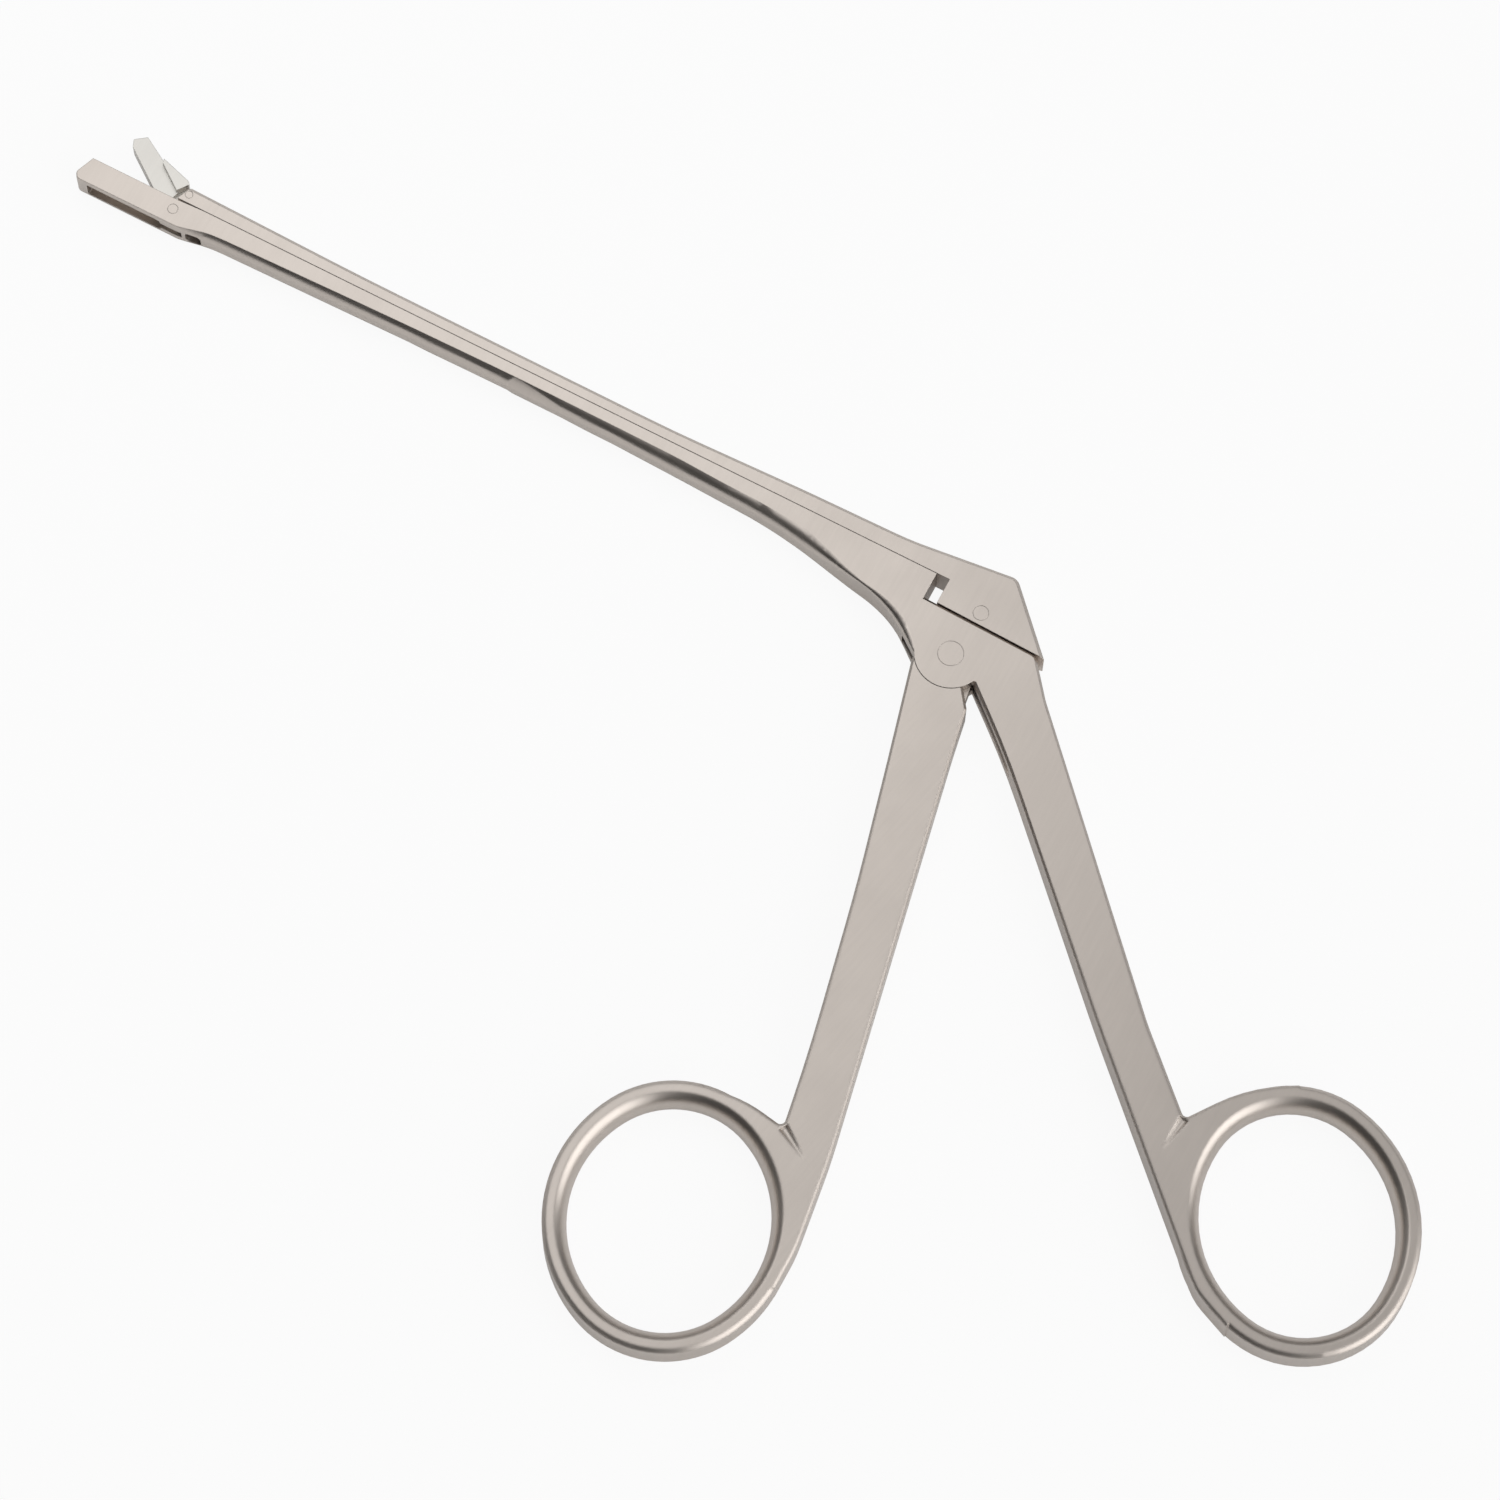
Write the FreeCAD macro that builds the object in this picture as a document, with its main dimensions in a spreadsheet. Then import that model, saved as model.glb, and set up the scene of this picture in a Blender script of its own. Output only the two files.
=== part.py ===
import FreeCAD, Part
import math
import os
import Sketcher

# Ring-handled forceps whose upper jaw punches through a window in the lower jaw.
# The instrument lies on its side. X runs along the shaft towards the rear, the handles hang
# towards -Y and Z is the thickness. The origin is on the main pivot, at the resting face.
# All sizes are in millimetres and angles in degrees.

DOC = FreeCAD.newDocument("through_cut_forceps")

# Driving sizes: name, value and what it is.
SIZE_ROWS = [
    ("plate_thick", 4.6, "thickness of the joint, the slide's block and the handle bars"),
    ("jaw_thick", 3.8, "thickness of the shaft and the slide at the jaws"),
    ("taper_x", -22, "where the sides of the shaft begin to taper"),
    ("running_fit", 0.03, "radial clearance of a pin that turns"),
    ("rivet_fit", 0.01, "radial clearance of a pin that is riveted fast"),
    ("side_gap", 0.05, "clearance beside a tongue or a blade, on each side"),
    ("seam_gap", 0.05, "clearance between the shaft and the slide"),
    ("pivot_radius", 1.5, "main pivot pin"),
    ("cheek_radius", 4.2, "rounded ends of the two cheeks about the main pivot"),
    ("shoulder_gap", 0.06, "clearance between the cheeks and the front handle's shoulder"),
    ("tongue_thick", 1.8, "front handle's tongue and lever, between the cheeks"),
    ("lever_pin_height", 6.0, "drive pin's height above the main pivot"),
    ("lever_pin_radius", 0.9, "drive pin"),
    ("lever_reach", 7.5, "end of the lever, from the main pivot"),
    ("lever_half", 1.9, "half of the lever's width"),
    ("close_angle", 15.2, "turn of the front handle from open to closed"),
    ("seam_y", 7.93, "top of the lower shaft"),
    ("land_y", 4.36, "top of the joint plate at its rear corner"),
    ("land_slope", 0.025, "rise of the joint plate's top towards the front, per millimetre"),
    ("land_gap", 0.1, "clearance of the slide's block over the joint plate"),
    ("plate_rear_x", 8.75, "rear corner of the joint plate"),
    ("plate_corner", 1.1, "rounding of that corner"),
    ("step_x", -5.9, "step at the rear end of the shaft"),
    ("stop_gap", 0.05, "gap left between the two steps when the jaw is closed"),
    ("shaft_front_y", 4.6, "underside of the shaft at the jaws"),
    ("shaft_front_x", -104.5, "front end of the shaft's narrowing"),
    ("shaft_nip_x", -99.5, "front end of the long arched underside"),
    ("shaft_nip_y", 5.12, "height of the underside there"),
    ("shaft_arch_x", -61, "middle of the arched underside"),
    ("shaft_arch_y", 5.9, "corner height at the middle of the arched underside"),
    ("shaft_arch_bow", 900, "radius of the arched underside at its middle"),
    ("shaft_root_x", -26.5, "rear end of the arched underside"),
    ("shaft_root_y", 5.0, "corner height there"),
    ("shaft_neck_x", -9.3, "corner of the curve down to the cheeks"),
    ("shaft_neck_y", 2.15, "height of that corner"),
    ("jaw_round", 0.9, "rounding along the underside of the lower jaw"),
    ("shaft_round", 1.75, "rounding along the underside of the shaft"),
    ("shaft_round_end", 0.2, "rounding where it fades out at the joint"),
    ("jaw_top_y", 7.75, "top of the lower jaw"),
    ("nose_x", -117.45, "front end of the lower jaw at its top"),
    ("nose_lean", 0.9, "how far the jaw's front leans out at the bottom"),
    ("window_front_x", -116.5, "front end of the jaw's window"),
    ("window_rear_x", -106.7, "rear end of the jaw's window"),
    ("window_wide", 2.4, "width of the jaw's window"),
    ("window_corner", 0.2, "corner rounding of the jaw's window"),
    ("hub_slot_wide", 1.3, "slot for the upper jaw's hub"),
    ("hub_slot_x", -102.9, "rear end of the hub slot"),
    ("jaw_pin_x", -105.9, "jaw pivot along the shaft"),
    ("jaw_pin_y", 6.5, "jaw pivot's height"),
    ("jaw_pin_radius", 0.6, "jaw pivot pin"),
    ("open_angle", 36, "opening of the upper jaw"),
    ("hub_radius", 1.28, "upper jaw's hub about its pivot"),
    ("link_pin_radius", 0.45, "link pin"),
    ("link_reach", 3.1, "end of the hub's fork, from the jaw pivot"),
    ("blade_edge_y", 5.65, "cutting edge with the jaw closed"),
    ("blade_nose_x", -116.32, "front of the blade with the jaw closed"),
    ("blade_tip_y", 7.77, "back of the blade at its tip with the jaw closed"),
    ("head_rear_x", -107.87, "rear of the blade's wide head with the jaw closed"),
    ("head_top_y", 9.62, "top of the wide head with the jaw closed"),
    ("head_low_gap", 0.13, "clearance of the wide head over the lower jaw when closed"),
    ("head_front_x", -111.8, "front of the wide head with the jaw closed"),
    ("blade_back_x", -112.49, "corner of the blade's back with the jaw closed"),
    ("blade_back_y", 8.12, "height of that corner"),
    ("slide_front_x", -105.3, "front end of the slide at its top"),
    ("slide_front_y", 9.9, "top of the slide at the front"),
    ("slide_lean", 0.8, "how far the slide's front leans out at the seam"),
    ("slide_mid_x", -82, "front end of the slide's level top"),
    ("slide_mid_y", 9.46, "height of the slide's level top"),
    ("slide_mid_bow", 500, "radius at the front end of the level top"),
    ("slide_rise_x", -41, "rear end of the slide's level top"),
    ("slide_rise_y", 9.42, "corner height there"),
    ("slide_swell_bow", 200, "radius where the slide rises towards the rear"),
    ("slide_swell_x", -24, "where the slide has risen at the rear"),
    ("slide_swell_y", 10.0, "height there"),
    ("slide_ramp_x", -10.5, "foot of the ramp up to the slide's rear block"),
    ("slide_ramp_y", 10.27, "height of that foot"),
    ("slide_peak_x", 2.6, "corner of the slide's rear block"),
    ("slide_peak_y", 11.82, "height of that corner"),
    ("slide_peak_round", 1.5, "rounding of that corner"),
    ("slide_tail_x", 9.75, "rear tip of the slide"),
    ("slide_bevel", 0.4, "bevel along both edges of the slide's top"),
    ("front_slot_x", -103.4, "rear end of the slide's front slot"),
    ("pocket_front_x", -2.3, "front end of the slide's pocket for the lever"),
    ("pocket_rear_x", 3.9, "rear end of that pocket"),
    ("pocket_top_y", 8.5, "top of that pocket"),
    ("guide_x", -98.9, "middle of the slide's guide stud when open"),
    ("guide_long", 1.6, "length of the guide stud"),
    ("guide_neck_wide", 1.1, "neck of the guide stud"),
    ("guide_neck_tall", 0.8, "height of the guide slot's neck"),
    ("guide_head_wide", 2.0, "head of the guide stud"),
    ("guide_head_tall", 0.8, "height of the guide slot's head space"),
    ("guide_door_x", -102.4, "middle of the opening that the stud goes in by"),
    ("guide_door_long", 2.0, "length of that opening"),
    ("front_ring_wide", 14.15, "half of the front ring's outer width"),
    ("front_ring_longer", 1.6, "how much more the front ring's half length is"),
    ("rear_ring_wide", 13.7, "half of the rear ring's outer width"),
    ("rear_ring_longer", 2.05, "how much more the rear ring's half length is"),
    ("ring_end_less", 1.3, "how much less than the half width a ring's end radius is"),
    ("ring_flat", 1.4, "width of a ring's flat face"),
    ("ring_bulge", 1.35, "how far a ring's inside bulges in at its middle"),
    ("ring_bevel", 0.45, "bevel along a ring's outer edges"),
    ("front_ring_x", 2.78, "middle of the front ring"),
    ("front_ring_y", -73.76, "middle of the front ring"),
    ("front_ring_turn", -70.9, "direction of the front ring's long axis"),
    ("rear_ring_x", 64.95, "middle of the rear ring"),
    ("rear_ring_y", -41.4, "middle of the rear ring"),
    ("rear_ring_turn", -53.8, "direction of the rear ring's long axis"),
    ("bar_bow", 250, "radius along the handle bars' long edges"),
    ("crotch_round", 0.6, "rounding between a bar and its ring"),
    ("web_round", 15, "radius of a ring's web beside the bar"),
    ("notch_wide", 1.2, "width of the filed notch between a bar and its ring"),
    ("notch_deep", 0.4, "depth of that notch at the crotch"),
    ("notch_long", 4.4, "length of that notch"),
    ("front_notch_turn", -31, "direction of the notch at the front ring"),
    ("rear_notch_turn", -98, "direction of the notch at the rear ring"),
    ("edge_break", 0.3, "bevel of the handle bars' long edges"),
]

sheet = DOC.addObject("Spreadsheet::Sheet", "Sizes")


class Size:
    """A number that also knows the sheet expression it comes from."""

    def __init__(self, value, text):
        self.value = float(value)
        self.text = text

    def __add__(self, other):
        return joined(self, "+", other, lambda a, b: a + b)

    def __radd__(self, other):
        return joined(other, "+", self, lambda a, b: a + b)

    def __sub__(self, other):
        return joined(self, "-", other, lambda a, b: a - b)

    def __rsub__(self, other):
        return joined(other, "-", self, lambda a, b: a - b)

    def __mul__(self, other):
        return joined(self, "*", other, lambda a, b: a * b)

    def __rmul__(self, other):
        return joined(other, "*", self, lambda a, b: a * b)

    def __truediv__(self, other):
        return joined(self, "/", other, lambda a, b: a / b)

    def __neg__(self):
        return joined(0, "-", self, lambda a, b: a - b)


def as_size(item):
    if isinstance(item, Size):
        return item
    return Size(item, "({:.6g})".format(item))


def joined(left, sign, right, work):
    left = as_size(left)
    right = as_size(right)
    return Size(work(left.value, right.value), "({} {} {})".format(left.text, sign, right.text))


def cosine(angle):
    angle = as_size(angle)
    return Size(math.cos(math.radians(angle.value)), "cos({} * 1 deg)".format(angle.text))


def sine(angle):
    angle = as_size(angle)
    return Size(math.sin(math.radians(angle.value)), "sin({} * 1 deg)".format(angle.text))


def tangent(angle):
    angle = as_size(angle)
    return Size(math.tan(math.radians(angle.value)), "tan({} * 1 deg)".format(angle.text))


class Sizes:
    """The sheet's cells by name."""


S = Sizes()
for row, (name, value, note) in enumerate(SIZE_ROWS, start=1):
    sheet.set("A{}".format(row), note)
    sheet.set("B{}".format(row), str(value))
    sheet.setAlias("B{}".format(row), name)
    setattr(S, name, Size(value, "Sizes." + name))
DOC.recompute()

# Sizes that follow from the driving ones.
MID_Z = S.plate_thick / 2
HALF_TRAVEL = S.lever_pin_height * tangent(S.close_angle / 2)
TRAVEL = HALF_TRAVEL * 2
LINK_HEIGHT = HALF_TRAVEL / tangent(S.open_angle / 2)
SLIDE_LOW_Y = S.seam_y + S.seam_gap
SLIDE_STEP_X = S.step_x + TRAVEL + S.stop_gap
BEYOND = 3.0
SHAFT_END_X = -3.6


def land_height(x):
    """Height of the joint plate's sloping top at x."""
    return S.land_y + S.land_slope * (S.plate_rear_x - x)


def origin_plane(body, role):
    return next(item for item in body.Origin.OriginFeatures if item.Role == role)


def bind(target, path, size):
    target.setExpression(path, as_size(size).text)


def new_sketch(body, name, role="XY_Plane", place=(0, 0, 0), turn=0, axis=(0, 0, 1)):
    """A sketch on one of the body's own planes, moved by place and turned about axis."""
    sketch = body.newObject("Sketcher::SketchObject", name)
    sketch.AttachmentSupport = [(origin_plane(body, role), "")]
    sketch.MapMode = "FlatFace"
    spot = [as_size(item) for item in place]
    rotation = FreeCAD.Rotation(FreeCAD.Vector(*axis), as_size(turn).value)
    corner = FreeCAD.Vector(*[item.value for item in spot])
    sketch.AttachmentOffset = FreeCAD.Placement(corner, rotation)
    for letter, item in zip("xyz", spot):
        if item.value:
            bind(sketch, "AttachmentOffset.Base." + letter, item)
    if isinstance(turn, Size):
        bind(sketch, "AttachmentOffset.Rotation.Angle", turn)
    return sketch


def fix_size(sketch, constraint, size):
    """Adds a constraint that carries a size and binds it to the sheet."""
    index = sketch.addConstraint(constraint)
    bind(sketch, "Constraints[{}]".format(index), size)


def fix_point(sketch, shape, end, x, y):
    """Holds a point at x, y from the sketch's origin."""
    for kind, place in (("DistanceX", as_size(x)), ("DistanceY", as_size(y))):
        if place.value >= 0:
            fix_size(sketch, Sketcher.Constraint(kind, -1, 1, shape, end, place.value), place)
        else:
            fix_size(sketch, Sketcher.Constraint(kind, shape, end, -1, 1, -place.value), -place)


def draw_circle(sketch, x, y, radius):
    centre = FreeCAD.Vector(as_size(x).value, as_size(y).value, 0)
    radius = as_size(radius)
    shape = sketch.addGeometry(Part.Circle(centre, FreeCAD.Vector(0, 0, 1), radius.value), False)
    fix_point(sketch, shape, 3, x, y)
    fix_size(sketch, Sketcher.Constraint("Radius", shape, radius.value), radius)


def fit_radii(corners):
    """Makes two corners' radii smaller where their arcs would overlap on the run between them."""
    spots = [FreeCAD.Vector(x.value, y.value, 0) for x, y, radius in corners]
    count = len(corners)
    reaches = []
    for index, spot in enumerate(spots):
        back = spots[index - 1] - spot
        ahead = spots[(index + 1) % count] - spot
        reaches.append(corners[index][2].value / math.tan(back.getAngle(ahead) / 2))
    shares = [1.0] * count
    for index in range(count):
        after = (index + 1) % count
        share = (spots[after] - spots[index]).Length / max(reaches[index] + reaches[after], 1e-9)
        if share < 1:
            shares[index] = min(shares[index], share * 0.95)
            shares[after] = min(shares[after], share * 0.95)
    return [(x, y, radius * share if share < 1 else radius)
            for (x, y, radius), share in zip(corners, shares)]


def draw_outline(sketch, corners):
    """A closed outline of straight runs. Each corner is x, y and the radius that rounds it."""
    corners = [(as_size(c[0]), as_size(c[1]), as_size(c[2] if len(c) > 2 else 0)) for c in corners]
    corners = fit_radii(corners)
    count = len(corners)
    spots = [FreeCAD.Vector(x.value, y.value, 0) for x, y, radius in corners]
    enters = []
    leaves = []
    arcs = []
    for index, (x, y, radius) in enumerate(corners):
        spot = spots[index]
        if not radius.value:
            enters.append(spot)
            leaves.append(spot)
            arcs.append(None)
            continue
        back = (spots[index - 1] - spot).normalize()
        ahead = (spots[(index + 1) % count] - spot).normalize()
        half = back.getAngle(ahead) / 2
        reach = radius.value / math.tan(half)
        middle = (back + ahead).normalize() * (radius.value / math.sin(half)) + spot
        enters.append(spot + back * reach)
        leaves.append(spot + ahead * reach)
        left_turn = back.cross(ahead).z < 0
        arcs.append((middle, left_turn))
    lines = []
    for index in range(count):
        run = Part.LineSegment(leaves[index], enters[(index + 1) % count])
        lines.append(sketch.addGeometry(run, False))
    for index, (x, y, radius) in enumerate(corners):
        before = lines[index - 1]
        after = lines[index]
        if arcs[index] is None:
            sketch.addConstraint(Sketcher.Constraint("Coincident", before, 2, after, 1))
            fix_point(sketch, after, 1, x, y)
            continue
        middle, left_turn = arcs[index]
        ends = [enters[index], leaves[index]]
        if not left_turn:
            ends.reverse()
        angles = [math.atan2(end.y - middle.y, end.x - middle.x) for end in ends]
        circle = Part.Circle(middle, FreeCAD.Vector(0, 0, 1), radius.value)
        arc = sketch.addGeometry(Part.ArcOfCircle(circle, angles[0], angles[1]), False)
        first, last = (1, 2) if left_turn else (2, 1)
        corner = sketch.addGeometry(Part.Point(spots[index]), True)
        sketch.addConstraint(Sketcher.Constraint("Tangent", before, 2, arc, first))
        sketch.addConstraint(Sketcher.Constraint("Tangent", after, 1, arc, last))
        sketch.addConstraint(Sketcher.Constraint("PointOnObject", corner, 1, before))
        sketch.addConstraint(Sketcher.Constraint("PointOnObject", corner, 1, after))
        fix_size(sketch, Sketcher.Constraint("Radius", arc, radius.value), radius)
        fix_point(sketch, corner, 1, x, y)


def pad(body, name, sketch, length):
    feature = body.newObject("PartDesign::Pad", name)
    feature.Profile = sketch
    feature.Length = as_size(length).value
    bind(feature, "Length", length)
    return feature


def pocket(body, name, sketch, length):
    """Cuts from the sketch against its normal, and checks that it took something away."""
    DOC.recompute()
    before = body.Shape.Volume
    feature = body.newObject("PartDesign::Pocket", name)
    feature.Profile = sketch
    feature.Length = as_size(length).value
    bind(feature, "Length", length)
    DOC.recompute()
    if before - body.Shape.Volume < 1e-4:
        raise RuntimeError(name + " cuts nothing")
    return feature


def flat_pad(body, name, low_z, height, corners):
    """Pads an outline in the XY plane from low_z upwards."""
    sketch = new_sketch(body, name + "_outline", place=(0, 0, low_z))
    draw_outline(sketch, corners)
    return pad(body, name, sketch, height)


def flat_pocket(body, name, low_z, height, corners):
    """Cuts an outline in the XY plane from low_z upwards by height."""
    sketch = new_sketch(body, name + "_outline", place=(0, 0, as_size(low_z) + height))
    draw_outline(sketch, corners)
    return pocket(body, name, sketch, height)


def upright_pocket(body, name, low_y, high_y, corners):
    """Cuts an outline given as x, z through the stretch from low_y to high_y."""
    low_y = as_size(low_y)
    sketch = new_sketch(body, name + "_outline", "XZ_Plane", (0, 0, -low_y))
    draw_outline(sketch, corners)
    return pocket(body, name, sketch, as_size(high_y) - low_y)


def disc_pad(body, name, x, y, radius, low_z, height):
    sketch = new_sketch(body, name + "_circle", place=(0, 0, low_z))
    draw_circle(sketch, x, y, radius)
    return pad(body, name, sketch, height)


def bore(body, name, x, y, radius, low_z, height):
    sketch = new_sketch(body, name + "_circle", place=(0, 0, as_size(low_z) + height))
    draw_circle(sketch, x, y, radius)
    return pocket(body, name, sketch, height)


def oval(sketch, half_long, half_wide, end_radius):
    """An oval of tangent arcs about the sketch's origin, opened at its right end."""
    half_long = as_size(half_long)
    half_wide = as_size(half_wide)
    end_radius = as_size(end_radius)
    shift = half_long - end_radius
    side = (shift * shift + half_wide * half_wide - end_radius * end_radius)
    side = side / ((half_wide - end_radius) * 2)
    drop = side - half_wide
    lean = math.atan2(drop.value, shift.value)
    up = FreeCAD.Vector(0, 0, 1)
    end_right = FreeCAD.Vector(shift.value, 0, 0)
    end_left = FreeCAD.Vector(-shift.value, 0, 0)
    side_low = FreeCAD.Vector(0, -drop.value, 0)
    side_high = FreeCAD.Vector(0, drop.value, 0)
    turn = math.pi
    plans = [
        (end_right, end_radius.value, 0, lean),
        (side_low, side.value, lean, turn - lean),
        (end_left, end_radius.value, turn - lean, turn + lean),
        (side_high, side.value, turn + lean, 2 * turn - lean),
        (end_right, end_radius.value, 2 * turn - lean, 2 * turn),
    ]
    arcs = []
    for middle, radius, start, stop in plans:
        circle = Part.Circle(middle, up, radius)
        arcs.append(sketch.addGeometry(Part.ArcOfCircle(circle, start, stop), False))
    for index in range(4):
        sketch.addConstraint(Sketcher.Constraint("Tangent", arcs[index], 2, arcs[index + 1], 1))
    sketch.addConstraint(Sketcher.Constraint("Coincident", arcs[4], 2, arcs[0], 1))
    sketch.addConstraint(Sketcher.Constraint("Coincident", arcs[0], 3, arcs[4], 3))
    fix_size(sketch, Sketcher.Constraint("Radius", arcs[0], end_radius.value), end_radius)
    fix_size(sketch, Sketcher.Constraint("Radius", arcs[1], side.value), side)
    fix_size(sketch, Sketcher.Constraint("Radius", arcs[2], end_radius.value), end_radius)
    fix_size(sketch, Sketcher.Constraint("Radius", arcs[3], side.value), side)
    sketch.addConstraint(Sketcher.Constraint("PointOnObject", arcs[0], 3, -1))
    sketch.addConstraint(Sketcher.Constraint("PointOnObject", arcs[0], 1, -1))
    sketch.addConstraint(Sketcher.Constraint("PointOnObject", arcs[1], 3, -2))
    sketch.addConstraint(Sketcher.Constraint("PointOnObject", arcs[2], 3, -1))
    fix_size(sketch, Sketcher.Constraint("DistanceX", -1, 1, arcs[0], 3, shift.value), shift)


def near_ring(x, y, wide, angle, out):
    """The point at this angle about a ring's middle and this far beyond its half width."""
    reach = as_size(wide) + out
    return (as_size(x) + reach * cosine(angle), as_size(y) + reach * sine(angle))


def add_ring(body, name, x, y, wide, longer, turn):
    """A finger ring: a D-shaped section swept round an oval. The bar's end inside it goes first."""
    half_long = wide + longer
    end_radius = wide - S.ring_end_less
    clear = new_sketch(body, name + "_clearing", place=(x, y, S.plate_thick + 1), turn=turn)
    inset = S.ring_flat / 2
    oval(clear, half_long - inset, wide - inset, end_radius - inset)
    pocket(body, name + "_clear", clear, S.plate_thick + 2)
    path = new_sketch(body, name + "_path", place=(x, y, MID_Z), turn=turn)
    oval(path, half_long, wide, end_radius)
    section = new_sketch(body, name + "_section", "XZ_Plane", (x, MID_Z, -y), turn, (0, 1, 0))
    half = S.plate_thick / 2
    crown = (half * half + S.ring_bulge * S.ring_bulge) / (S.ring_bulge * 2)
    outer = half_long
    inner = half_long - S.ring_flat
    bevel = S.ring_bevel
    axis_x = inner - S.ring_bulge + crown
    swing = math.asin(half.value / crown.value)
    circle = Part.Circle(FreeCAD.Vector(axis_x.value, 0, 0), FreeCAD.Vector(0, 0, 1), crown.value)
    arc = section.addGeometry(Part.ArcOfCircle(circle, math.pi - swing, math.pi + swing), False)
    spots = [
        (inner, -half),
        (outer - bevel, -half),
        (outer, bevel - half),
        (outer, half - bevel),
        (outer - bevel, half),
        (inner, half),
    ]
    lines = []
    for start, stop in zip(spots, spots[1:]):
        run = Part.LineSegment(
            FreeCAD.Vector(start[0].value, start[1].value, 0),
            FreeCAD.Vector(stop[0].value, stop[1].value, 0))
        lines.append(section.addGeometry(run, False))
        fix_point(section, lines[-1], 1, *start)
    for line, after in zip([arc, *lines], [*lines, arc]):
        section.addConstraint(Sketcher.Constraint("Coincident", line, 2, after, 1))
    fix_point(section, arc, 1, inner, half)
    fix_size(section, Sketcher.Constraint("Radius", arc, crown.value), crown)
    DOC.recompute()
    sweep = body.newObject("PartDesign::AdditivePipe", name)
    sweep.Profile = section
    sweep.Spine = (path, [""])
    sweep.Mode = "Frenet"
    DOC.recompute()
    return sweep


def crotch_notch(body, name, x, y, turn):
    """A filed notch on both faces that starts between bar and ring and fades out along turn."""
    half = S.notch_wide / 2
    radius = (half * half + S.notch_deep * S.notch_deep) / (S.notch_deep * 2)
    above = radius - S.notch_deep
    height = S.notch_long * radius / S.notch_deep
    for side, level in (("_low", -above), ("_high", S.plate_thick + above)):
        cone = body.newObject("PartDesign::SubtractiveCone", name + side)
        level = as_size(level)
        cone.Placement = FreeCAD.Placement(
            FreeCAD.Vector(as_size(x).value, as_size(y).value, level.value),
            FreeCAD.Rotation(turn.value, 90, 0))
        cone.Radius1 = radius.value
        cone.Radius2 = 0
        cone.Height = height.value
        bind(cone, "Placement.Base.x", x)
        bind(cone, "Placement.Base.y", y)
        bind(cone, "Placement.Base.z", level)
        bind(cone, "Radius1", radius)
        bind(cone, "Height", height)
        DOC.recompute()


def taper_sides(body, nose_x):
    """Planes both broad sides in from the joint to the jaws."""
    drop = (S.plate_thick - S.jaw_thick) / 2
    front = as_size(nose_x) - BEYOND
    top = S.plate_thick
    depth = drop * (S.taper_x - front) / (S.taper_x - S.jaw_pin_x)
    below = S.shaft_front_y - BEYOND
    over = S.slide_peak_y + BEYOND
    upright_pocket(body, "low_side_taper", below, over,
                   [(S.taper_x, 0), (front, depth), (front, -1)])
    upright_pocket(body, "high_side_taper", below, over,
                   [(S.taper_x, top), (front, top + 1), (front, top - depth)])


def slot_z(wide):
    """Where a central slot or tongue of this width starts in the thickness."""
    return MID_Z - as_size(wide) / 2


def make_pin(label, x, y, radius, low_z, length):
    body = DOC.addObject("PartDesign::Body", label)
    disc_pad(body, label + "_shank", 0, 0, radius, low_z, length)
    body.Placement = FreeCAD.Placement(
        FreeCAD.Vector(as_size(x).value, as_size(y).value, 0), FreeCAD.Rotation())
    bind(body, "Placement.Base.x", x)
    bind(body, "Placement.Base.y", y)
    return body


def rounding_at(x, stations):
    """The radius at x, between stations given as x and radius from the front to the rear."""
    for (x0, r0), (x1, r1) in zip(stations, stations[1:]):
        if x <= x1.value:
            share = (x - x0.value) / (x1.value - x0.value)
            return r0.value + (r1.value - r0.value) * max(share, 0)
    return stations[-1][1].value


def round_long_edges(form, name, stations, wanted):
    """Rounds a blank's long edges on both faces with a radius that changes along X."""
    DOC.recompute()
    edges = []
    for index, edge in enumerate(form.Shape.Edges, start=1):
        box = edge.BoundBox
        first = edge.valueAt(edge.FirstParameter)
        last = edge.valueAt(edge.LastParameter)
        middle = edge.valueAt((edge.FirstParameter + edge.LastParameter) / 2)
        level = box.ZLength < 1e-6
        on_face = min(abs(box.ZMin), abs(box.ZMin - S.plate_thick.value)) < 1e-6
        if level and on_face and wanted(middle):
            radii = (rounding_at(first.x, stations), rounding_at(last.x, stations))
            edges.append((index, *radii))
    rounding = DOC.addObject("Part::Fillet", name)
    rounding.Base = form
    rounding.Edges = edges
    DOC.recompute()
    return rounding


def beside_ring(spot, x, y, wide):
    """How far a point lies beyond a ring's half width."""
    return math.hypot(spot.x - x.value, spot.y - y.value) - wide.value


def bevel_edges(body, name, size, wanted):
    """Bevels the wanted edges that run along the broad faces."""
    DOC.recompute()
    base = body.Tip
    chosen = []
    for index, edge in enumerate(base.Shape.Edges, start=1):
        middle = edge.valueAt((edge.FirstParameter + edge.LastParameter) / 2)
        if edge.BoundBox.ZLength < size.value and wanted(middle):
            chosen.append("Edge{}".format(index))
    feature = body.newObject("PartDesign::Chamfer", name)
    feature.Base = (base, chosen)
    feature.Size = size.value
    bind(feature, "Size", size)
    DOC.recompute()
    return feature


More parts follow.
